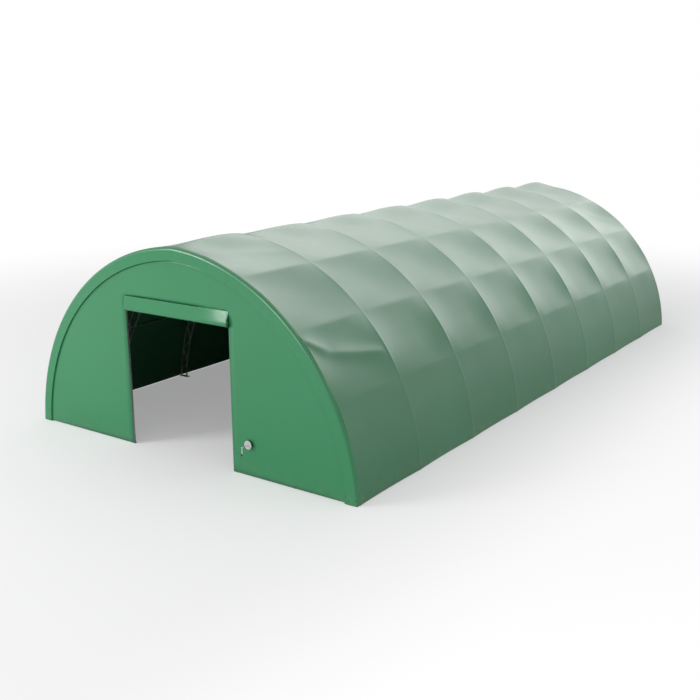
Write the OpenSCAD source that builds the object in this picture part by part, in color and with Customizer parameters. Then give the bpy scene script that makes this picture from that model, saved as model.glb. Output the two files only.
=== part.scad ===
// Round-arch fabric storage hall: nine trussed steel arches under one PVC sheet,
// a sheeted gable at each end and a roll-up curtain in the front doorway.
// Millimetres, +Z up. +Y runs into the hall from the doorway and +X is on the right
// of someone who walks in.

/* [Hall] */
// Width over the sheet at the ground
hall_w = 9150; // [8600:50:9700]
// Length from the front sheet to the rear sheet
hall_l = 18300; // [16400:100:20200]
// Height of the ridge at an arch
hall_h = 4500; // [4300:25:4700]
// Number of bays along the hall
bays = 8; // [8:1:8]
// How far each side's arc centre lies beyond the centreline, which gives the crown its slight point
crown_shift = 228; // [150:6:300]

/* [Arches] */
// Diameter of the two chord tubes
chord_d = 42; // [36:1:48]
// Distance between the chord tubes' centres
chord_gap = 200; // [170:5:220]
// Diameter of the zigzag lacing between the chords
lace_d = 18; // [12:1:22]
// Number of zigzag panels on each half of an arch
lace_n = 10; // [6:1:14]
// Width of a foot plate along the hall
foot_w = 108; // [90:2:110]
// Thickness of every foot plate
foot_t = 10; // [6:1:14]

/* [Purlins] */
// Diameter of the purlins
purlin_d = 32; // [25:1:38]
// Arc angles of the lower, middle and upper purlins
purlin_at = [27, 46, 65];

/* [Sheet] */
// Thickness of the sheets
sheet_t = 12; // [8:1:14]
// How far a bay of the cover bows out between two arches
bulge = 110; // [80:5:150]
// Height of the hem above the ground
hem_z = 20; // [15:5:60]
// Outward lean of the cover where it is drawn down to its hem, in degrees
hem_lean = 4.5; // [3:0.5:6]
// Radius of the cover's rounded corner at each gable
corner_r = 60; // [45:5:75]
// Width of the cover's rim round the gable
rim_w = 275; // [270:1:300]
// How far the gable sheet lies behind the rim
gable_in = 35; // [20:1:36]

/* [Doorway] */
// Clear width of the doorway
door_w = 3000; // [2600:50:3200]
// Height of the doorway
door_h = 3355; // [3100:5:3400]
// Side of the square posts of the gables
post_w = 60; // [50:2:70]
// Distance of the outer gable posts from the centreline
wind_x = 3000; // [2800:25:3200]
// Height of the front rails that carry the winch
rail_z = 690; // [600:10:800]

/* [Curtain] */
// Diameter of the rolled-up curtain
roll_d = 130; // [110:2:150]
// Height of the roll's underside
roll_z = 3030; // [2900:10:3100]
// Diameter of the tube inside the roll
tube_d = 60; // [48:2:64]
// Gap between the curtain and each door post
curtain_gap = 25; // [15:1:40]

/* [Winch] */
// Distance of the winch from the centreline
winch_x = 1930; // [1850:10:2050]
// Diameter of the winch drum
drum_d = 180; // [150:5:200]
// Depth of the winch drum
drum_h = 50; // [44:2:60]
// Diameter of the pale disc on the drum's face
disc_d = 184; // [150:2:190]
// Side of the square plate behind the drum
plate_w = 120; // [90:2:124]
// Length of the crank from its shaft to its grip
crank_l = 150; // [130:5:200]
// How far the crank's shaft stands out of the drum
crank_out = 170; // [140:5:190]
// Length of the grip
grip_l = 46; // [40:1:60]

/* [Hidden] */
$fn = 120;

half_w = hall_w / 2;
bay = hall_l / bays;
// Each half of the arch is one arc through the foot and the crown
arc_drop = (half_w * half_w + 2 * half_w * crown_shift - hall_h * hall_h) / (2 * hall_h);
arc_r = sqrt(pow(half_w + crown_shift, 2) + arc_drop * arc_drop);

chord_r = chord_d / 2;
// Gap between the sheet and the outer chords, which the crown's sleeves stay within
sheet_gap = 6;
sleeve_t = 2;
sleeve_l = 20;
outer_r = arc_r - sheet_t - sheet_gap - chord_r;
inner_r = outer_r - chord_gap;
// Everything inside the trusses stays within this radius
clear_r = inner_r - chord_r - 2;
// The end arches stand just inside the cover's rim
end_in = 60;
arch_y = [for (i = [0:bays]) i == 0 ? end_in : i == bays ? hall_l - end_in : i * bay];
// Purlins stop this far from an arch's centre plane, clear of its crown sleeve
purlin_end = chord_r + 5;

gable_r = arc_r - rim_w - 1;
gable_back = gable_in + sheet_t;
post_y = gable_back + 2;
rail_w = 40;
anchor_r = 9;

// The flat of the curtain hangs behind its roll
roll_y = gable_in - 5;
flat_y = roll_y + roll_d / 2 + 1;
flat_t = 6;
curtain_w = door_w - 2 * curtain_gap;
roll_axis_z = roll_z + roll_d / 2;

// The winch stands on the face of the gable sheet
plate_t = 6;
plate_y = gable_in - 0.5;
drum_y = plate_y - plate_t;
disc_t = 8;
disc_y = drum_y - drum_h;
crank_t = 10;
crank_y = disc_y - disc_t - crank_out;
shaft_r = 12;
shaft_in = 50;
pin_r = 6;
run = 0.1;
grip_gap = 2;
head_t = 4;
reach = -(crank_y - crank_t - 2 * grip_gap - grip_l - head_t);
// The middle of the hall with its crank lies on the origin
front_y = -(hall_l - reach) / 2;
big = 3 * hall_l;
// How far a cutting shape runs past what it cuts
past = 10;

// Puts a piece that is measured from the front of the hall into the hall's frame
module place() translate([0, front_y, 0]) children();

// Angle at which an arc of radius r crosses a height z, and at which it reaches the centreline
function arc_at_z(r, z) = asin((arc_drop + z) / r);
function arc_at_crown(r) = acos(crown_shift / r);
// Point on the right half of the arch line at radius r and arc angle t
function on_arc(r, t) = [r * cos(t) - crown_shift, 0, r * sin(t) - arc_drop];

// Carries a profile (radius, distance along the hall) along the right half of the arch line
module along_arc(lo, hi)
    translate([-crown_shift, 0, -arc_drop])
        mirror([0, 1, 0])
            rotate([90, 0, 0])
                rotate([0, 0, lo])
                    rotate_extrude(angle = hi - lo, $fn = 720) children();

// Keeps the right half of something, from height z up
module right_above(z)
    intersection() {
        children();
        translate([0, -big / 2, z]) cube([big, big, big]);
    }

module both_sides() {
    children();
    mirror([1, 0, 0]) children();
}

// Straight rod between two points of one plane across the hall
module rod(p, q, d) {
    v = q - p;
    translate(p)
        rotate([0, atan2(v[0], v[2]), 0])
            cylinder(h = norm(v), d = d, $fn = 32);
}

// The region of the hall's cross-section within radius r of both arcs
module section(r, z)
    intersection() {
        translate([-crown_shift, -arc_drop]) circle(r = r, $fn = 1440);
        translate([crown_shift, -arc_drop]) circle(r = r, $fn = 1440);
        translate([-big / 2, z]) square([big, big]);
    }

// A slab of the cross-section, standing across the hall from y to y + t
module across(y, t)
    translate([0, y + t, 0]) rotate([90, 0, 0]) linear_extrude(height = t) children();

// ---- trussed arch ----

module half_chord(r) {
    along_arc(arc_at_z(r, foot_t / 2), arc_at_crown(r))
        translate([r, 0]) circle(r = chord_r, $fn = 48);
    // Splice sleeve at the crown
    translate([0, 0, sqrt(r * r - crown_shift * crown_shift) - arc_drop])
        rotate([0, 90, 0]) cylinder(r = chord_r + sleeve_t, h = sleeve_l, $fn = 48);
}

module half_lacing() {
    lo = arc_at_z(inner_r, foot_t) + 1.2;
    step = (arc_at_crown(inner_r) - 0.8 - lo) / (2 * lace_n);
    for (i = [0:lace_n - 1]) {
        rod(on_arc(outer_r, lo + 2 * i * step), on_arc(inner_r, lo + (2 * i + 1) * step), lace_d);
        rod(on_arc(inner_r, lo + (2 * i + 1) * step), on_arc(outer_r, lo + (2 * i + 2) * step), lace_d);
    }
}

module foot_plate() {
    x_out = half_w - sheet_t - 4;
    length = chord_gap + chord_d + 60;
    translate([x_out - length, -foot_w / 2, 0])
        difference() {
            cube([length, foot_w, foot_t]);
            for (s = [-1, 1])
                translate([length / 2 + s * 45, foot_w / 2, -1])
                    cylinder(r = anchor_r, h = foot_t + 2, $fn = 32);
        }
}

module arch(i)
    color([0.62, 0.64, 0.65])
        place() translate([0, arch_y[i], 0])
            both_sides() {
                half_chord(outer_r);
                half_chord(inner_r);
                half_lacing();
                foot_plate();
            }

// ---- purlins ----

// One line of tubes, a tube in each bay
module purlin_line(p)
    color([0.62, 0.64, 0.65])
        place()
            for (i = [0:bays - 1])
                translate([p[0], arch_y[i] + purlin_end, p[2]])
                    rotate([-90, 0, 0])
                        cylinder(h = arch_y[i + 1] - arch_y[i] - 2 * purlin_end, d = purlin_d, $fn = 48);

module purlin_right(n) purlin_line(on_arc(outer_r, purlin_at[n]));

module purlin_left(n) mirror([1, 0, 0]) purlin_right(n);

module purlin_ridge() purlin_line([0, 0, sqrt(outer_r * outer_r - crown_shift * crown_shift) - arc_drop]);

// ---- gable frames ----

// Square post from its foot plate up to the inner chord of the end arch
module gable_post(x, y) {
    intersection() {
        translate([x - post_w / 2, y, foot_t / 2]) cube([post_w, post_w, hall_h]);
        across(y - 1, post_w + 2) section(clear_r, 0);
    }
    translate([x - post_w, y - 4, 0]) cube([2 * post_w, post_w + 8, foot_t]);
}

module post(x, y) color([0.62, 0.64, 0.65]) place() gable_post(x, y);

module rail(x, l, y, z)
    translate([x, y, z - rail_w / 2]) cube([l, rail_w, rail_w]);

module door_header()
    color([0.62, 0.64, 0.65])
        place() translate([-door_w / 2 + 1, post_y, door_h])
            cube([door_w - 2, post_w, post_w]);

module front_rails()
    color([0.62, 0.64, 0.65])
        place() both_sides()
            rail(door_w / 2 + post_w + 1, wind_x - door_w / 2 - 1.5 * post_w - 2, post_y, rail_z);

rear_post_y = hall_l - post_y - post_w;

module rear_posts()
    color([0.62, 0.64, 0.65])
        place() both_sides() {
            gable_post(door_w / 2 + post_w / 2, rear_post_y);
            gable_post(wind_x, rear_post_y);
        }

module rear_rails()
    color([0.62, 0.64, 0.65])
        place() {
            y = hall_l - post_y - rail_w;
            rail(-door_w / 2 + 1, door_w - 2, y, 1200);
            both_sides()
                rail(door_w / 2 + post_w + 1, wind_x - door_w / 2 - 1.5 * post_w - 2, y, 1200);
        }

// ---- sheets ----

// Where bay i's bow starts and ends along the hall
function bow_from(i) = i == 0 ? corner_r : i * bay;
function bow_to(i) = i == bays - 1 ? hall_l - corner_r : (i + 1) * bay;

// Rounded end of the outline at a gable, set in by t, for the end at y = 0
module rounded_end(t) {
    translate([arc_r - corner_r, corner_r]) circle(r = corner_r - t, $fn = 60);
    translate([arc_r - rim_w - 200, t]) square([rim_w + 200 - corner_r, corner_r + 1 - t]);
}

// Bay i's outline along the hall, set in by t: a circular bow, and a rounded end at a gable
module bay_outline(i, t) {
    l = bow_to(i) - bow_from(i);
    bow_r = (l * l / 4 + bulge * bulge) / (2 * bulge);
    intersection() {
        translate([arc_r + bulge - bow_r, bow_from(i) + l / 2]) circle(r = bow_r - t, $fn = 360);
        translate([arc_r - rim_w - 200, bow_from(i) - past])
            square([rim_w + 200 + 2 * bulge, l + 2 * past]);
    }
    if (i == 0) rounded_end(t);
    if (i == bays - 1) translate([0, hall_l]) mirror([0, 1]) rounded_end(t);
}

// Bay i from the rim's inner edge out to its face
module bay_outside(i)
    intersection() {
        bay_outline(i, 0);
        translate([arc_r - rim_w, i * bay]) square([rim_w + 2 * bulge, bay]);
    }

// The hollow of bay i: behind its face and the rim's, and past the rim's short return
module bay_inside(i) {
    y0 = i == 0 ? gable_back + 1 : i * bay - past;
    y1 = i == bays - 1 ? hall_l - gable_back - 1 : (i + 1) * bay + past;
    intersection() {
        bay_outline(i, sheet_t);
        translate([arc_r - rim_w + sheet_t, i * bay - past])
            square([rim_w + 2 * bulge, bay + 2 * past]);
    }
    translate([arc_r - rim_w - 100, y0]) square([101 + sheet_t, y1 - y0]);
}

// Everything on the hall's side of the leaning plane that ends on the hem, set in by t
module within_hem(t)
    translate([half_w - t, -big / 2, 0])
        rotate([0, hem_lean, 0])
            translate([-big, 0, -big]) cube([big, big, 2 * big]);

// The right half of bay i, from the hem to the ridge
module half_bay(i) {
    lo = arc_at_z(arc_r, 0) - 3;
    right_above(hem_z)
        difference() {
            intersection() {
                along_arc(lo, 90) bay_outside(i);
                within_hem(0);
            }
            intersection() {
                along_arc(lo - 0.5, 90.5) bay_inside(i);
                within_hem(sheet_t);
            }
        }
}

// One bay of the cover, which meets its neighbours face to face over the middle of an arch
module cover_bay(i)
    color([0.27, 0.57, 0.39])
        place() both_sides() half_bay(i);

module front_gable()
    color([0.27, 0.57, 0.39])
        place() across(gable_in, sheet_t)
            difference() {
                section(gable_r, hem_z);
                translate([-door_w / 2, 0]) square([door_w, door_h]);
            }

module rear_gable()
    color([0.27, 0.57, 0.39])
        place() across(hall_l - gable_back, sheet_t) section(gable_r, hem_z);

// ---- roll-up curtain ----

module curtain()
    color([0.24, 0.53, 0.36])
        place() translate([-curtain_w / 2, flat_y, roll_axis_z])
            cube([curtain_w, flat_t, door_h - roll_axis_z - 0.5]);

module curtain_roll()
    color([0.24, 0.53, 0.36])
        place() translate([-curtain_w / 2, roll_y, roll_axis_z])
            rotate([0, 90, 0])
                difference() {
                    cylinder(h = curtain_w, d = roll_d);
                    translate([0, 0, -1]) cylinder(h = curtain_w + 2, d = tube_d + 1);
                }

module roll_tube()
    color([0.62, 0.64, 0.65])
        place() translate([-curtain_w / 2 - 8, roll_y, roll_axis_z])
            rotate([0, 90, 0])
                difference() {
                    cylinder(h = curtain_w + 16, d = tube_d);
                    translate([0, 0, -1]) cylinder(h = curtain_w + 18, d = tube_d - 6);
                }

// ---- winch ----

// Disc or shaft about the winch's axis, from y forwards by h
module on_winch(y, h, r)
    translate([winch_x, y, rail_z]) rotate([90, 0, 0]) cylinder(h = h, r = r);

module winch_plate()
    color([0.16, 0.18, 0.17])
        place() translate([winch_x - plate_w / 2, plate_y - plate_t, rail_z - plate_w / 2])
            cube([plate_w, plate_t, plate_w]);

module winch_drum()
    color([0.12, 0.14, 0.13])
        place() difference() {
            on_winch(drum_y - 0.5, drum_h - 1, drum_d / 2);
            on_winch(disc_y + shaft_in, shaft_in + 10, shaft_r + run);
        }

module winch_disc()
    color([0.78, 0.79, 0.79])
        place() difference() {
            union() {
                on_winch(disc_y, disc_t, disc_d / 2);
                on_winch(disc_y - disc_t + 1, 9, 24);
            }
            on_winch(disc_y + 1, 40, shaft_r + run);
        }

// Shaft, hanging arm and grip pin in one piece
module crank() {
    pin_z = rail_z - crank_l;
    color([0.70, 0.71, 0.71])
        place() {
            on_winch(disc_y + shaft_in - 5, shaft_in - 5 + disc_t + crank_out, shaft_r);
            on_winch(crank_y, crank_t, 18);
            translate([winch_x - 12, crank_y - crank_t, pin_z]) cube([24, crank_t, crank_l]);
            translate([winch_x, crank_y, pin_z])
                rotate([90, 0, 0]) cylinder(h = crank_t, r = 12);
            translate([winch_x, crank_y, pin_z])
                rotate([90, 0, 0]) cylinder(h = crank_t + 2 * grip_gap + grip_l, r = pin_r);
            translate([winch_x, crank_y - crank_t - 2 * grip_gap - grip_l, pin_z])
                rotate([90, 0, 0]) cylinder(h = head_t, r = 10);
        }
}

module grip()
    color([0.10, 0.22, 0.15])
        place() translate([winch_x, crank_y - crank_t - grip_gap, rail_z - crank_l])
            rotate([90, 0, 0])
                difference() {
                    union() {
                        translate([0, 0, 6]) cylinder(h = grip_l - 12, r = 18);
                        cylinder(h = grip_l, r = 14);
                    }
                    translate([0, 0, -1]) cylinder(h = grip_l + 2, r = pin_r + run);
                }

arch(0);  // arch_1
arch(1);  // arch_2
arch(2);  // arch_3
arch(3);  // arch_4
arch(4);  // arch_5
arch(5);  // arch_6
arch(6);  // arch_7
arch(7);  // arch_8
arch(8);  // arch_9
purlin_ridge();
purlin_left(2);  // purlin_upper_left
purlin_right(2);  // purlin_upper_right
purlin_left(1);  // purlin_middle_left
purlin_right(1);  // purlin_middle_right
purlin_left(0);  // purlin_lower_left
purlin_right(0);  // purlin_lower_right
post(-door_w / 2 - post_w / 2, post_y);  // door_post_left
post(door_w / 2 + post_w / 2, post_y);  // door_post_right
door_header();
post(-wind_x, post_y);  // wind_post_left
post(wind_x, post_y);  // wind_post_right
front_rails();
rear_posts();
rear_rails();
cover_bay(0);  // cover_bay_1
cover_bay(1);  // cover_bay_2
cover_bay(2);  // cover_bay_3
cover_bay(3);  // cover_bay_4
cover_bay(4);  // cover_bay_5
cover_bay(5);  // cover_bay_6
cover_bay(6);  // cover_bay_7
cover_bay(7);  // cover_bay_8
front_gable();
rear_gable();
curtain();
curtain_roll();
roll_tube();
winch_plate();
winch_drum();
winch_disc();
crank();
grip();
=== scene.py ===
# %% [markdown]
# # A fabric storage hall
# A hall like this is a row of trussed steel arches with one big sheet of green PVC cloth pulled over
# them. The steel has a fixed shape, so it comes ready made as the frame. The cloth hasn't: it sinks
# between the arches, creases over the purlins, arches up along the ridge and curls under at its hem,
# so this lesson makes it anew as surfaces, and then gives every piece its finish.

# %% Load the frame
import math

import bpy
import numpy as np
from mathutils import Euler, Matrix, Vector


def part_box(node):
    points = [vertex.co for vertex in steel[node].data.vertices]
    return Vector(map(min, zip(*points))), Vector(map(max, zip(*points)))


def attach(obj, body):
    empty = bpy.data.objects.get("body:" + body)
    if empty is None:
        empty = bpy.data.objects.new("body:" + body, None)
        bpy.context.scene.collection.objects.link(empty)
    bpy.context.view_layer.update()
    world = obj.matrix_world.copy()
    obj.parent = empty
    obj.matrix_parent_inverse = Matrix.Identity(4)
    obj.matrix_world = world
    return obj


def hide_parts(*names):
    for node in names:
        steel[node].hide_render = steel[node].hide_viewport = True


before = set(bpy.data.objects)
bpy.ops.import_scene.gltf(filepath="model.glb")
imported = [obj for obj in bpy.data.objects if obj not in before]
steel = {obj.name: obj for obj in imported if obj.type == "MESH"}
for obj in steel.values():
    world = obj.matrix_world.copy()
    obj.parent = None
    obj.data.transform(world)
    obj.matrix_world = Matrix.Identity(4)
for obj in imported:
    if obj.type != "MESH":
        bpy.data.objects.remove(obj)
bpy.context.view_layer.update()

# %% [markdown]
# ## The arch line
# Each half of an arch is one arc. The two arcs' centres lie a little past the middle of the hall, on
# the far side, and that gives the ridge its slight point. Every sheet is laid out from this line: a
# place on the cloth is an angle on the arc, a side of the hall, a distance along the hall, and how far
# the cloth stands outside the line. With those four numbers as arrays, a whole sheet is one formula.

# %% Arch line
HALF_WIDTH = 4.575
RIDGE = 4.5
SHIFT = 0.228
DROP = (HALF_WIDTH**2 + 2 * HALF_WIDTH * SHIFT - RIDGE**2) / (2 * RIDGE)
RADIUS = math.hypot(HALF_WIDTH + SHIFT, DROP)
CROWN = math.acos(SHIFT / RADIUS)

cover_nodes = sorted(name for name in steel if name.startswith("cover"))
FRONT = min(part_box(name)[0].y for name in cover_nodes)
REAR = max(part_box(name)[1].y for name in cover_nodes)


def arc_angle(z):
    """The arc angle at which the arch line is z metres above the ground."""
    return math.asin((z + DROP) / RADIUS)


def on_arch(angle, side, out, y):
    """x is side times ((radius + out) cos angle - shift), and z is (radius + out) sin angle - drop."""
    x = side * ((RADIUS + out) * np.cos(angle) - SHIFT)
    z = (RADIUS + out) * np.sin(angle) - DROP
    return np.stack(np.broadcast_arrays(x, y, z), axis=-1)


print(f"arch radius {RADIUS:.3f} m, crown at {math.degrees(CROWN):.2f} degrees, length {REAR - FRONT:.2f} m")

# %% [markdown]
# ## From a grid of points to a mesh
# A sheet is a grid: rows run across the hall and columns along it. Blender could subdivide a plane and
# displace it, but then the points would lie where the plane had them, and not where the cloth has its
# creases. A grid that is worked out with numpy can put its rows close together at a crease and far
# apart in the middle of a panel. One helper spaces the rows, and another hands a grid to Blender.

# %% Grids and meshes
def eased(count, pull=0.8):
    """Steps from 0 to 1, closer together at both ends: s - pull * sin(2 pi s) / (2 pi)."""
    s = np.linspace(0, 1, count + 1)
    return s - pull * np.sin(2 * np.pi * s) / (2 * np.pi)


def chained(stops, counts, pull=0.8):
    """One run of values through the stops, with its steps eased around each of them."""
    runs = [a + (b - a) * eased(n, pull)[:-1] for a, b, n in zip(stops[:-1], stops[1:], counts)]
    return np.concatenate(runs + [stops[-1:]])


def smooth(x, low, high):
    """0 below low, 1 above high, and 3 s squared - 2 s cubed in between."""
    s = np.clip((x - low) / (high - low), 0, 1)
    return s * s * (3 - 2 * s)


def grid_piece(name, points, keep=None, turned=False, thick=0.006):
    """A mesh of quads over a grid of points, without the quads that keep leaves out."""
    rows, columns = points.shape[:2]
    corner = np.arange(rows * columns).reshape(rows, columns)
    quads = np.stack([corner[:-1, :-1], corner[1:, :-1], corner[1:, 1:], corner[:-1, 1:]], axis=-1)
    quads = quads.reshape(-1, 4) if keep is None else quads[keep]
    if turned:
        quads = quads[:, ::-1]
    used, quads = np.unique(quads, return_inverse=True)
    mesh = bpy.data.meshes.new(name)
    mesh.from_pydata(points.reshape(-1, 3)[used].tolist(), [], quads.reshape(-1, 4).tolist())
    mesh.polygons.foreach_set("use_smooth", np.ones(len(mesh.polygons), bool))
    piece = bpy.data.objects.new(name, mesh)
    bpy.context.scene.collection.objects.link(piece)
    if thick:
        wall = piece.modifiers.new("thickness", "SOLIDIFY")
        wall.thickness, wall.offset = thick, -1
    print(f"{name}: {len(quads.reshape(-1, 4))} quads")
    return piece


def grid_area(points):
    """The area of a grid's surface: half the length of the cross product of each quad's diagonals."""
    one = points[1:, 1:] - points[:-1, :-1]
    two = points[1:, :-1] - points[:-1, 1:]
    return np.linalg.norm(np.cross(one, two), axis=2) / 2


# %% [markdown]
# ## How the cover sinks and creases
# The cloth lies on the arches and on the purlins, and between them it is free. It sinks a little into
# every panel of that ladder, so arches and purlins stand out as soft ridges, and along the top, where
# nothing pulls it down, it arches up from bay to bay. A cloth simulation would find such a shape, but
# it wouldn't keep the creases where the tubes are. The shape is simple enough to write down: a hollow
# in each panel, and one bow along the ridge of each bay.

# %% Hollows and bows
BAYS = 8
BOWS = np.array([0.083, 0.066, 0.085, 0.100, 0.118, 0.132, 0.138, 0.138])
HOLLOWS = np.array([0.026, 0.070, 0.112, 0.098])
CORNER = 0.080
bay_length = (REAR - FRONT) / BAYS
PURLINS = np.radians([27.0, 46.0, 65.0])
HEM_HEIGHT = 0.010
RIDGE_BOW = 0.035
RIDGE_BAND = 0.16
HEM_BOW = 0.008
hem_angle = arc_angle(HEM_HEIGHT)
panel_edges = np.array([hem_angle, *PURLINS, CROWN])

bay_start = np.array([CORNER if i == 0 else i * bay_length for i in range(BAYS)])
bay_end = np.append(bay_start[1:], REAR - FRONT - CORNER)


def hollow(q):
    """A panel's fall from its creases, 0 at both and 1 in the middle: 4 m (1 - m), with m rounded at 0."""
    near = np.minimum(q, 1 - q)
    rounding = 0.02
    m = np.sqrt(near**2 + rounding**2) - rounding
    return 4 * m * (1 - m) * (1 + 0.2 * (2 * q - 1))


def off_arch(angle, along):
    """Metres outside the arch line, the same on both sides, with u from 0 to 1 along a bay and w = 4 u (1 - u).

    Each panel sinks by its depth * w * hollow(q), the hem draws in by HEM_BOW * sqrt(w), and the ridge
    rises by its bay's bow * w to the 0.65, more towards the bay's far end.
    """
    bay = np.clip(np.searchsorted(bay_start, along, side="right") - 1, 0, BAYS - 1)
    u = np.clip((along - bay_start[bay]) / (bay_end[bay] - bay_start[bay]), 0, 1)
    w = 4 * u * (1 - u)
    panel = np.clip(np.searchsorted(panel_edges, angle, side="right") - 1, 0, len(panel_edges) - 2)
    low, high = panel_edges[panel], panel_edges[panel + 1]
    q = np.clip((angle - low) / (high - low), 0, 1)
    sunk = -HOLLOWS[panel] * w * hollow(q) + RIDGE_BOW * w * smooth(angle, PURLINS[2], CROWN)
    sunk = sunk - HEM_BOW * np.sqrt(w) * (1.35 - 0.7 * u) * (1 - smooth(angle, hem_angle, PURLINS[0]))
    bow = BOWS[bay] * w**0.65 * (0.64 + 0.72 * u) - RIDGE_BOW * w
    return sunk + bow * smooth(angle, CROWN - RIDGE_BAND, CROWN)


# %% [markdown]
# ## Folds, seams and unevenness
# The cloth isn't pulled quite evenly. Some slack gathers in folds that run slantwise from one arch to
# the next, each bay's edge is welded to its neighbour's in a band that stands out a few millimetres,
# and no panel is quite like another. A fold is a ridge along a line, and its height falls off with the
# distance from that line, so all of them can be added to the bow as numbers.

# %% Folds
# Side of the hall, start and end as (degrees up the arch, metres along the hall), height, width.
FOLDS = [
    (1, (43.5, 0.08), (39.0, 0.62), 0.045, 0.09),
    (1, (39.0, 0.62), (34.3, 2.22), 0.045, 0.11),
    (1, (79.5, 0.75), (71.5, 2.25), 0.012, 0.09),
    (1, (58.0, 0.20), (52.0, 1.90), 0.006, 0.10),
    (1, (62.0, 16.35), (51.0, 18.05), 0.012, 0.10),
    (1, (77.0, 16.30), (69.0, 17.70), 0.010, 0.10),
    (1, (38.0, 16.25), (44.0, 17.90), 0.010, 0.12),
    (1, (15.0, 9.40), (11.0, 11.20), 0.005, 0.12),
    (-1, (41.0, 0.10), (33.0, 2.20), 0.026, 0.12),
    (-1, (55.0, 9.30), (50.0, 11.30), 0.014, 0.12),
    (-1, (36.0, 16.20), (42.0, 18.10), 0.020, 0.12),
    (-1, (74.0, 4.70), (70.0, 6.70), 0.010, 0.10),
]
FOLD_CREST = 0.015
WELD_HEIGHT, WELD_WIDTH = 0.003, 0.030
WAVE_HEIGHT = 0.0030
TUCK, TUCK_HEIGHT = 0.020, 0.12


def fold(angle, along, start, end, height, width):
    """height * exp(-distance / width) * (1 - 0.85 (2 t - 1) to the 4), with t from 0 to 1 along the line."""
    a = np.array([RADIUS * math.radians(start[0]), start[1]])
    b = np.array([RADIUS * math.radians(end[0]), end[1]])
    across, down = RADIUS * angle - a[0], along - a[1]
    t = np.clip((across * (b - a)[0] + down * (b - a)[1]) / ((b - a) @ (b - a)), 0, 1)
    distance = np.hypot(across - t * (b - a)[0], down - t * (b - a)[1])
    distance = np.sqrt(distance**2 + FOLD_CREST**2) - FOLD_CREST
    return height * np.exp(-distance / width) * (1 - 0.85 * (2 * t - 1) ** 4)


def uneven(angle, side, along):
    """The folds of that side, a weld over each inner arch and the product of slow waves, twice."""
    out = 0
    for hand, start, end, height, width in FOLDS:
        out = out + fold(angle, along, start, end, height, width) * (side == hand)
    nearest = np.clip(np.round(along / bay_length), 1, BAYS - 1) * bay_length
    out = out + WELD_HEIGHT * np.exp(-(((along - nearest) / WELD_WIDTH) ** 2))
    arc = RADIUS * angle * np.where(side < 0, -1.0, 1.0)
    waves = np.sin(1.9 * arc + 2.3 * along + 0.4) * np.sin(3.1 * along - 0.8 * arc)
    waves = waves + np.sin(4.3 * arc - 1.1 * along) * np.sin(1.3 * along + 2.0)
    return out + WAVE_HEIGHT * waves * smooth(angle, hem_angle, PURLINS[0])


def tucked(points, along):
    """Pulls the hem in under each bay: TUCK * sin(pi u) * (1 - z / TUCK_HEIGHT) squared."""
    z = points[..., 2]
    u = np.mod(along, bay_length) / bay_length
    tuck = TUCK * np.sin(np.pi * u) * np.clip(1 - z / TUCK_HEIGHT, 0, 1) ** 2
    tucked_in = points.copy()
    tucked_in[..., 0] -= np.sign(points[..., 0]) * tuck
    return tucked_in


# %% [markdown]
# ## The roof sheet
# The rows start at the left hem, go over the ridge and come down to the right hem, and the columns run
# from just behind the front corner to just before the rear one. Rows gather at the purlins and columns
# at the arches, because that is where the cloth turns sharply.

# %% Roof sheet
half_rows = chained(panel_edges, [28, 34, 22, 24], 0.6)
angle = np.concatenate([half_rows, half_rows[-2::-1]])[:, None]
side = np.where(np.arange(len(angle)) < len(half_rows) - 1, -1.0, 1.0)[:, None]
side[len(half_rows) - 1] = 0
along = chained(np.append(bay_start, bay_end[-1]), [22] * BAYS)[None, :]

out = off_arch(angle, along) + uneven(angle, side, along)
roof_points = tucked(on_arch(angle, side, out, FRONT + along), along)
roof = grid_piece("roof_sheet", roof_points)
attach(roof, "hall")
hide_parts(*cover_nodes)

# %% [markdown]
# ## The rims
# At each end the cover turns round a soft corner on to the face of the hall, runs on as a flat band
# and folds back behind itself beside the gable sheet. That is a profile carried round the arch: each
# column of the grid is one point of the profile, given by how far outside the arch line and how far
# behind the face it lies.

# %% Rims
RIM = 0.275
RIM_BACK = 0.048
RIM_EDGE = 0.004
RIM_HEM = 0.012
FOOT_ROUND = 0.04


def rim_profile():
    """(out, back): a short return, a small round fold, the flat band, and a quarter circle on to the roof."""
    turn = np.radians(np.linspace(0, 90, 6))
    inner = np.stack([-RIM + RIM_EDGE * (1 - np.cos(turn)), RIM_EDGE * (1 - np.sin(turn))], axis=1)
    out = np.append(-RIM + RIM_EDGE + 0.002, np.linspace(-RIM + 0.02, -CORNER - 0.01, 6))
    band = np.stack([out, np.zeros(7)], axis=1)
    turn = np.radians(np.linspace(0, 90, 12))
    corner = np.stack([CORNER * (np.sin(turn) - 1), CORNER * (1 - np.cos(turn))], axis=1)
    return np.concatenate([[[-RIM, RIM_BACK], [-RIM, 0.03]], inner, band, corner])


def rim_piece(name, rear):
    """The band round one gable, with its lowest outer corner rounded off."""
    out, back = rim_profile()[None, :, :].transpose(2, 0, 1)
    foot = arc_angle(RIM_HEM)
    rows = chained(np.array([foot, foot + FOOT_ROUND, CROWN]), [14, 60], 0)
    turn = np.concatenate([rows, rows[-2::-1]])[:, None]
    hand = np.where(np.arange(len(turn)) < len(rows) - 1, -1.0, 1.0)[:, None]
    hand[len(rows) - 1] = 0
    reach = np.clip(1 + out / FOOT_ROUND, 0, 1)
    lift = FOOT_ROUND * (1 - np.sqrt(1 - reach**2)) / RADIUS
    turn = turn + lift * np.clip(1 - (turn - foot) / FOOT_ROUND, 0, 1)
    points = on_arch(turn, hand, out, REAR - back if rear else FRONT + back)
    if rear:
        points = points[:, ::-1]
    piece = grid_piece(name, points)
    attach(piece, "hall")
    return piece


rims = [rim_piece("rim_front", False), rim_piece("rim_rear", True)]

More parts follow.
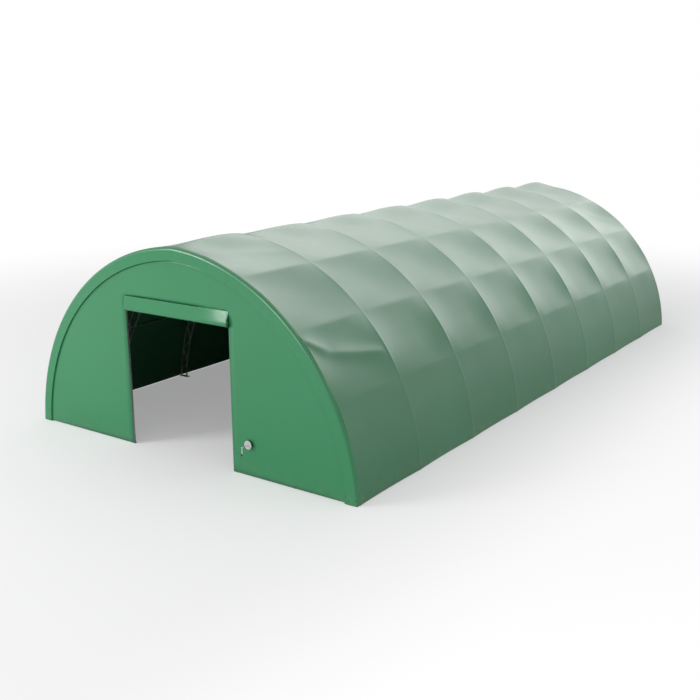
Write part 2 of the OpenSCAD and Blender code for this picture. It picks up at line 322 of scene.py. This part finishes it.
# %% [markdown]
# ## The gable sheets
# A gable sheet fills the arch behind the rim, and at the front it has the doorway cut out of it. One
# grid makes it: columns stand upright from the hem to the arch, and one of the rows runs exactly along
# the top of the doorway, so that leaving out the quads below it leaves a clean opening.

# %% Gable sheets
DOOR_HALF = abs(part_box("door_post_left")[1].x)
DOOR_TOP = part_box("door_header")[0].z
GABLE_BACK = 0.035
GABLE_LAP = 0.030
GABLE_HEM = 0.015
gable_radius = RADIUS - RIM + GABLE_LAP


def gable_top(x):
    """The height of the gable sheet's round edge at x, on the same pair of arcs as the arch."""
    return np.sqrt(gable_radius**2 - (np.abs(x) + SHIFT) ** 2) - DROP


def gable_piece(name, node, y, doorway, facing):
    """Columns from the hem to the arch, with a row along the doorway's head."""
    hem = GABLE_HEM
    edge = math.sqrt(gable_radius**2 - (hem + DROP) ** 2) - SHIFT
    sideways = edge * np.sin(np.linspace(math.asin(DOOR_HALF / edge), math.pi / 2 - 0.01, 36))
    middle = np.linspace(-DOOR_HALF, DOOR_HALF, 31)[1:-1]
    x = np.concatenate([-sideways[::-1], middle, sideways])[None, :]
    top = np.maximum(gable_top(np.minimum(np.abs(x), edge)), hem)
    head = (DOOR_TOP - hem) / (gable_top(DOOR_HALF) - hem)
    v = chained(np.array([0, head, 1]), [24, 10], 0)[:, None]
    z = hem + (top - hem) * v
    over_door = DOOR_TOP + (top - DOOR_TOP) * (v - head) / (1 - head)
    inside = (np.abs(x) < DOOR_HALF - 1e-6) & (v >= head - 1e-9)
    z = np.where(inside, over_door, z)
    if not doorway:
        z = np.where(np.abs(x) < DOOR_HALF, np.where(inside, over_door, hem + (DOOR_TOP - hem) * v / head), z)
    ripple = 0.003 * np.sin(1.7 * x + 0.6 * z) * np.sin(1.1 * z + 0.8)
    points = np.stack(np.broadcast_arrays(x, y + ripple, z), axis=-1)
    keep = None
    if doorway:
        middle_x = (x[0, 1:] + x[0, :-1]) / 2
        middle_v = (v[1:, 0] + v[:-1, 0]) / 2
        keep = ~((np.abs(middle_x)[None, :] < DOOR_HALF) & (middle_v[:, None] < head))
    piece = grid_piece(name, points, keep, turned=facing < 0)
    area = grid_area(points)
    area = float(area.sum() if keep is None else area[keep].sum())
    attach(piece, "hall")
    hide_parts(node)
    return piece


gables = [
    gable_piece("gable_sheet_front", "front_gable", FRONT + GABLE_BACK, True, -1),
    gable_piece("gable_sheet_rear", "rear_gable", REAR - GABLE_BACK, False, 1),
]

# %% [markdown]
# ## The roll-up curtain
# The doorway's curtain hangs from the header, slants forward and is wound round a tube below the top
# of the opening. Seen from its end it is one line: a straight run to the point where it touches the
# roll, then a spiral down to the tube. So the sheet is that line drawn along the doorway, and the
# turns of the roll are real ones. It hangs nearly upright, but at its right end, where it is pulled
# back under the header, it slants more.

# %% Curtain
def curtain_line(top_y, top_z, centre, outer, inner, turns):
    """Down the tangent to the roll, then round it at a radius of outer - (outer - inner) * share."""
    to_y, to_z = top_y - centre[0], top_z - centre[1]
    touch = np.arctan2(to_z, to_y) + np.arccos(outer / np.hypot(to_y, to_z))
    share = np.linspace(0, 1, 40 * turns)
    turn = touch + share * turns * 2 * math.pi
    radius = outer - (outer - inner) * share
    y, z = centre[0] + radius * np.cos(turn), centre[1] + radius * np.sin(turn)
    run = np.append([0, 0.012], np.linspace(0.1, 0.9, 7))
    y = np.concatenate([top_y + run * (y[:, :1] - top_y), y], axis=1)
    z = np.concatenate([top_z + run * (z[:, :1] - top_z), z], axis=1)
    return y, z


roll_low, roll_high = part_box("curtain_roll")
roll_centre = ((roll_low.y + roll_high.y) / 2, (roll_low.z + roll_high.z) / 2)
roll_radius = (roll_high.z - roll_low.z) / 2
TUBE_RADIUS = 0.033
ROLL_TURNS = 4
x = np.linspace(roll_low.x, roll_high.x, 49)[:, None]
hang = FRONT + 0.018 + 0.045 * smooth(x, 0.40, 1.40)
y, z = curtain_line(hang, DOOR_TOP - 0.003, roll_centre, roll_radius - 0.001, TUBE_RADIUS, ROLL_TURNS)
curtain_points = np.stack(np.broadcast_arrays(x, y, z), axis=-1)
curtain = grid_piece("door_curtain", curtain_points, thick=0.002)
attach(curtain, "hall")
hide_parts("curtain", "curtain_roll")

# %% [markdown]
# ## Writing a material as arithmetic
# Blender mixes colours and heights with nodes. Wiring them by hand makes long lists of links that
# nobody can read, so one small class wraps a socket and lets + - * / stand for Math nodes, and another
# makes any node from its type, its settings and its inputs.

# %% Shader tools
class Wire:
    """A socket that holds one number for each point of a surface."""

    def __init__(self, nodes, socket):
        self.nodes, self.socket = nodes, socket

    def math(self, operation, *values):
        return self.nodes.add("ShaderNodeMath", {"operation": operation}, dict(enumerate(values))).out(0)

    def __add__(self, other):
        return self.math("ADD", self, other)

    __radd__ = __add__

    def __sub__(self, other):
        return self.math("SUBTRACT", self, other)

    def __rsub__(self, other):
        return self.math("SUBTRACT", other, self)

    def __mul__(self, other):
        return self.math("MULTIPLY", self, other)

    __rmul__ = __mul__

    def ramp(self, low, high):
        """0 at low, 1 at high and a smooth step in between."""
        settings = {"interpolation_type": "SMOOTHSTEP"}
        sockets = {"Value": self, "From Min": low, "From Max": high}
        return self.nodes.add("ShaderNodeMapRange", settings, sockets).out("Result")


class Step:
    """A node that has been made, and its outputs."""

    def __init__(self, nodes, node):
        self.nodes, self.node = nodes, node

    def out(self, name):
        return Wire(self.nodes, self.node.outputs[name])


class Nodes:
    """A node tree that is written by expressions."""

    def __init__(self, tree):
        self.tree = tree
        tree.nodes.clear()

    def add(self, kind, settings=None, sockets=None):
        """Makes a node: its settings first, then a value or a wire for each named socket."""
        node = self.tree.nodes.new(kind)
        for key, value in (settings or {}).items():
            setattr(node, key, value)
        for key, value in (sockets or {}).items():
            if isinstance(value, Wire):
                self.tree.links.new(value.socket, node.inputs[key])
            else:
                node.inputs[key].default_value = value
        return Step(self, node)

    def place(self):
        """The surface's own place in metres."""
        return self.add("ShaderNodeTexCoord").out("Object")

    def noise(self, scale, detail, roughness=0.5):
        sockets = {"Vector": self.place(), "Scale": scale, "Detail": detail, "Roughness": roughness}
        return self.add("ShaderNodeTexNoise", None, sockets).out(0)

    def blend(self, share, one, two):
        """Colour one where share is 0 and colour two where it is 1."""
        settings = {"data_type": "RGBA"}
        return self.add("ShaderNodeMix", settings, {0: share, 6: one, 7: two}).out(2)

    def bump(self, height, strength, distance):
        sockets = {"Height": height, "Strength": strength, "Distance": distance}
        return self.add("ShaderNodeBump", None, sockets).out("Normal")

    def skin(self, **sockets):
        """The surface itself: a Principled BSDF on the material's output."""
        named = {key.replace("_", " "): value for key, value in sockets.items()}
        surface = self.add("ShaderNodeBsdfPrincipled", None, named)
        self.add("ShaderNodeOutputMaterial", None, {"Surface": surface.out("BSDF")})


def finish(name):
    """A new material and its nodes."""
    material = bpy.data.materials.new(name)
    material.use_nodes = True
    return material, Nodes(material.node_tree)


def dress(material, *pieces):
    """Gives the pieces that material and no other."""
    for piece in pieces:
        piece.data.materials.clear()
        piece.data.materials.append(material)


# %% [markdown]
# ## The green cloth
# The cloth is a polyester weave sealed in PVC with a clear lacquer on top. So it has a strong even
# green, a soft gloss that turns pale at a shallow angle, and only a trace of the weave. The roof's
# green is a darker copy, painted shade for its lesser light, and each rim's round corner is painted
# darker still as shade.

# %% PVC cloth
CLOTH_GREEN, CLOTH_SHADE = (0.032, 0.270, 0.108, 1), (0.030, 0.258, 0.102, 1)
# The roof greens are darker copies of the cloth green: painted shade for the lesser light on the roof.
ROOF_GREEN_PAINTED_SHADE, ROOF_DRIFT_PAINTED_SHADE = (0.036, 0.172, 0.080, 1), (0.033, 0.158, 0.073, 1)
# A darker green for the rims' round corners: painted shade.
CORNER_PAINTED_SHADE = (0.020, 0.190, 0.068, 1)
DUST = (0.20, 0.23, 0.17, 1)


def pvc(name, green, shade, gloss, painted_shade_green=None):
    """Lacquered PVC: two greens that drift over metres, a faint weave, and dust just above the ground.

    With a painted_shade_green it passes behind the rim to that darker green, painted shade for the roof's
    lesser light, over a round corner painted darker as shade and made duller.
    """
    material, nodes = finish(name)
    place = nodes.place()
    drift = nodes.noise(0.35, 2.0)
    streak = nodes.noise(6.0, 4.0, 0.6)
    height = nodes.add("ShaderNodeSeparateXYZ", None, {0: place}).out("Z")
    dust = (1 - height.ramp(0.0, 0.45)) * streak.ramp(0.35, 0.75) * 0.25
    colour = nodes.blend(drift.ramp(0.3, 0.7), green, shade)
    if painted_shade_green:
        along = nodes.add("ShaderNodeSeparateXYZ", None, {0: place}).out("Y")
        # Painted shade: behind the rim the colour turns to the darker roof green.
        inside = along.ramp(FRONT + 0.045, FRONT + 0.080) * (1 - along.ramp(REAR - 0.080, REAR - 0.045))
        colour = nodes.blend(inside, colour, painted_shade_green)
        # Painted shade: a darker green over the round corner of each rim.
        fold = along.ramp(FRONT + 0.008, FRONT + 0.020) * (1 - along.ramp(FRONT + 0.072, FRONT + 0.082))
        fold = fold + along.ramp(REAR - 0.082, REAR - 0.072) * (1 - along.ramp(REAR - 0.020, REAR - 0.008))
        colour = nodes.blend(fold, colour, CORNER_PAINTED_SHADE)
        gloss = fold * 0.25 + gloss
    colour = nodes.blend(dust, colour, DUST)
    weave = nodes.add("ShaderNodeTexVoronoi", {"feature": "F1"}, {"Vector": place, "Scale": 260.0})
    weave = weave.out("Distance")
    rough = gloss + (streak - 0.5) * 0.06 + dust * 0.3
    normal = nodes.bump(weave * 0.05 + nodes.noise(3.0, 2.0) * 2.0, 0.25, 0.004)
    nodes.skin(Base_Color=colour, Roughness=rough, Normal=normal, IOR=1.55)
    return material


# The roof and the rims' corners get their darker greens as painted shade.
dress(pvc("roof cloth with painted shade", ROOF_GREEN_PAINTED_SHADE, ROOF_DRIFT_PAINTED_SHADE, 0.29), roof)
dress(pvc("rim cloth with painted shade", CLOTH_GREEN, CLOTH_SHADE, 0.26, ROOF_GREEN_PAINTED_SHADE), *rims)
dress(pvc("gable cloth", CLOTH_GREEN, CLOTH_SHADE, 0.30), *gables)
dress(pvc("curtain cloth", CLOTH_GREEN, CLOTH_SHADE, 0.22), curtain)
print("cloth:", len(bpy.data.materials), "materials so far")

# %% [markdown]
# ## The steel
# Hot-dip galvanising leaves a dull grey skin of zinc crystals. Each crystal is a little lighter or
# darker and a little smoother or rougher than the next, which a Voronoi pattern gives at once.

# %% Galvanised steel
def galvanised():
    """Grey crystals that differ in tone and gloss, with darker stains."""
    material, nodes = finish("galvanised steel")
    grain = {"Vector": nodes.place(), "Scale": 55.0}
    spangle = nodes.add("ShaderNodeTexVoronoi", {"feature": "F1"}, grain)
    tone = nodes.add("ShaderNodeSeparateColor", None, {0: spangle.out("Color")}).out(0)
    stain = nodes.noise(4.0, 4.0)
    colour = nodes.blend(tone, (0.40, 0.42, 0.43, 1), (0.56, 0.58, 0.59, 1))
    colour = nodes.blend(stain.ramp(0.5, 0.8) * 0.5, colour, (0.30, 0.31, 0.30, 1))
    rough = 0.34 + tone * 0.14 + stain.ramp(0.5, 0.8) * 0.15
    nodes.skin(Base_Color=colour, Roughness=rough, Metallic=0.85, Normal=nodes.bump(stain, 0.2, 0.001))
    return material


zinc_starts = ("arch", "purlin", "door_", "wind_", "rear_p", "rear_r")
zinc_nodes = [name for name in steel if name.startswith(zinc_starts)] + ["front_rails", "roll_tube"]
dress(galvanised(), *[steel[name] for name in zinc_nodes])
print("galvanised:", len(zinc_nodes), "pieces")

# %% [markdown]
# ## The winch
# The winch is a small thing on a large hall: a dark powder-coated plate and drum, a pale disc and
# crank, and a moulded grip. They are the frame's own pieces, so they only need their finish.

# %% Winch finishes
def painted(name, colour, worn, rough, metal=0.0):
    """A coat with a fine orange peel, worn towards a second colour in patches."""
    material, nodes = finish(name)
    wear = nodes.noise(38.0, 5.0, 0.65)
    tint = nodes.blend(wear.ramp(0.6, 0.72) * 0.7, colour, worn)
    shine = rough + wear.ramp(0.55, 0.75) * 0.15
    peel = nodes.bump(nodes.noise(600.0, 2.0), 0.15, 0.0005)
    nodes.skin(Base_Color=tint, Roughness=shine, Metallic=metal, Normal=peel)
    return material


dark_coat = painted("dark coat", (0.022, 0.030, 0.026, 1), (0.10, 0.11, 0.10, 1), 0.42)
pale_coat = painted("pale coat", (0.62, 0.63, 0.63, 1), (0.42, 0.43, 0.42, 1), 0.35, 0.3)
moulded = painted("moulded grip", (0.012, 0.045, 0.026, 1), (0.03, 0.07, 0.045, 1), 0.45)
dress(dark_coat, steel["winch_plate"], steel["winch_drum"])
dress(pale_coat, steel["winch_disc"], steel["crank"])
dress(moulded, steel["grip"])

# %% [markdown]
# ## Floor and light
# The hall stands on a pale seamless floor. Seen by the camera the floor fades to plain white with
# distance, and right of the hall it is painted lighter, painted light over the hall's shadow there,
# while for every other ray it stays a matt surface, so that it keeps the hall's shadow and throws a
# natural light back on to it.

# %% Floor
def floor_sheet():
    """A flat floor that is part matt and part white light to the camera, and all matt to other rays."""
    reach = np.linspace(-150, 150, 61)
    x, y = np.meshgrid(reach, reach, indexing="ij")
    piece = grid_piece("floor", np.stack([x, y, np.zeros_like(x)], axis=-1), thick=0)
    material, nodes = finish("studio floor")
    away = nodes.add("ShaderNodeVectorMath", {"operation": "LENGTH"}, {0: nodes.place()}).out("Value")
    seen = nodes.add("ShaderNodeLightPath").out("Is Camera Ray")
    white = nodes.add("ShaderNodeEmission", None, {"Color": (1, 1, 1, 1), "Strength": 1.0}).out(0)
    matt = nodes.add("ShaderNodeBsdfDiffuse", None, {"Color": (0.95, 0.95, 0.955, 1)}).out(0)
    # Painted light: right of the hall more camera white lifts the hall's shadow.
    painted_light_right = nodes.add("ShaderNodeSeparateXYZ", None, {0: nodes.place()}).out("X").ramp(4.2, 9)
    share = seen * (0.32 + away.ramp(7, 30) * 0.68 + painted_light_right * 0.5)
    both = nodes.add("ShaderNodeMixShader", None, {0: share, 1: matt, 2: white}).out(0)
    nodes.add("ShaderNodeOutputMaterial", None, {"Surface": both})
    dress(material, piece)


floor_sheet()

# %% World
def white_world(level):
    """White for the camera and in reflections, and level for the light that falls on matt surfaces."""
    world = bpy.data.worlds.new("studio")
    bpy.context.scene.world = world
    world.use_nodes = True
    nodes = Nodes(world.node_tree)
    path = nodes.add("ShaderNodeLightPath")
    shown = path.out("Is Camera Ray") + path.out("Is Glossy Ray") + path.out("Is Transmission Ray")
    shown = shown.math("MINIMUM", shown, 1.0)
    strength = level + shown * (1 - level)
    sky = nodes.add("ShaderNodeBackground", None, {"Color": (1, 1, 1, 1), "Strength": strength})
    nodes.add("ShaderNodeOutputWorld", None, {"Surface": sky.out(0)})


white_world(0.58)

# %% Lamps
def softbox(name, target, azimuth, elevation, distance, size, radiance):
    """An area lamp that faces its target from an azimuth (0 in front, 90 on the right) and elevation."""
    a, e = math.radians(azimuth), math.radians(elevation)
    away = np.array([math.sin(a) * math.cos(e), -math.cos(a) * math.cos(e), math.sin(e)])
    data = bpy.data.lights.new(name, "AREA")
    data.shape, data.size, data.size_y = "RECTANGLE", *size
    data.energy = radiance * math.pi * size[0] * size[1]
    lamp = bpy.data.objects.new(name, data)
    lamp.location = np.array(target) + distance * away
    lamp.rotation_euler = (math.radians(90) - e, 0, a)
    bpy.context.scene.collection.objects.link(lamp)
    return lamp


middle = (0, (FRONT + REAR) / 2, 1.5)
softbox("key", (0, FRONT, 1.5), -42, 32, 30, (11, 9), 12.0)
fill = softbox("fill", middle, 95, 11, 40, (24, 10), 3.2)
fill.visible_glossy = False
shine = [
    softbox("high shine", middle, 188, 48.5, 80, (102, 63), 1.78),
    softbox("low shine", middle, 173, 16.5, 80, (41, 29.7), 1.65),
    softbox("end shine", middle, 203, 17.5, 80, (43, 27), 0.7),
    softbox("front shine", (0, FRONT, 2.5), 2, 31, 40, (20, 8), 11.0),
]
for lamp in shine:
    lamp.visible_diffuse = False
print("lamps:", len(shine) + 2)

# %% [markdown]
# ## The camera
# A long lens from the front right corner, a little above the ridge.

# %% Camera
lens = bpy.data.cameras.new("camera")
lens.lens, lens.sensor_width = 48.27, 36
lens.clip_end = 500
camera = bpy.data.objects.new("camera", lens)
turn = Euler((math.radians(90 - 14.55), 0, math.radians(35.06))).to_matrix()
tilt = Matrix.Rotation(math.radians(-0.25), 3, "Z")
camera.matrix_world = Matrix.Translation((13.75, FRONT - 13.306, 7.228)) @ (turn @ tilt).to_4x4()
bpy.context.scene.collection.objects.link(camera)
bpy.context.scene.camera = camera
bpy.context.scene.view_settings.view_transform = "Standard"

# %% Update the scene
bpy.context.view_layer.update()
